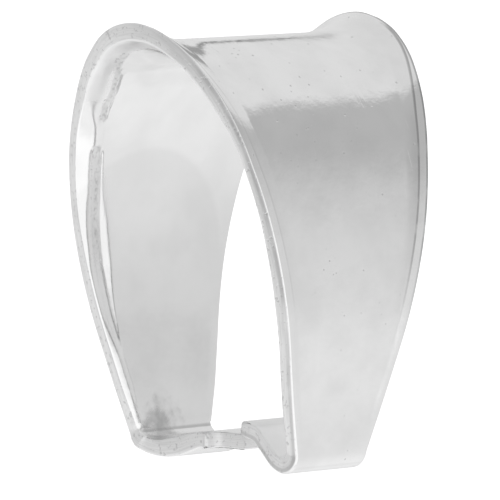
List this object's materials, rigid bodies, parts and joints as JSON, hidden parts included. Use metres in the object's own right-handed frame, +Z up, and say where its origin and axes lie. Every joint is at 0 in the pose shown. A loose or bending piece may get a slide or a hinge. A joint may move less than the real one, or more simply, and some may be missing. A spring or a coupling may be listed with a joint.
{
  "type": "bail finding",
  "caption": "Clip bail for a pendant: a flared, tapered strip of polished silver bent into a tunnel for a chain, with a small pin between its inturned feet.",
  "frame": {"origin": "middle of the box at the floor, under the two feet", "axes": "+X from the leg with the pin towards the plain leg, +Y along the tunnel that the chain runs through, +Z up from the feet to the crown"},
  "size_m": [0.0082, 0.0078, 0.0116],
  "materials": {
    "bail": "polished sterling silver"
  },
  "bodies": {
    "root": {"bail": "bail"}
  },
  "joints": []
}
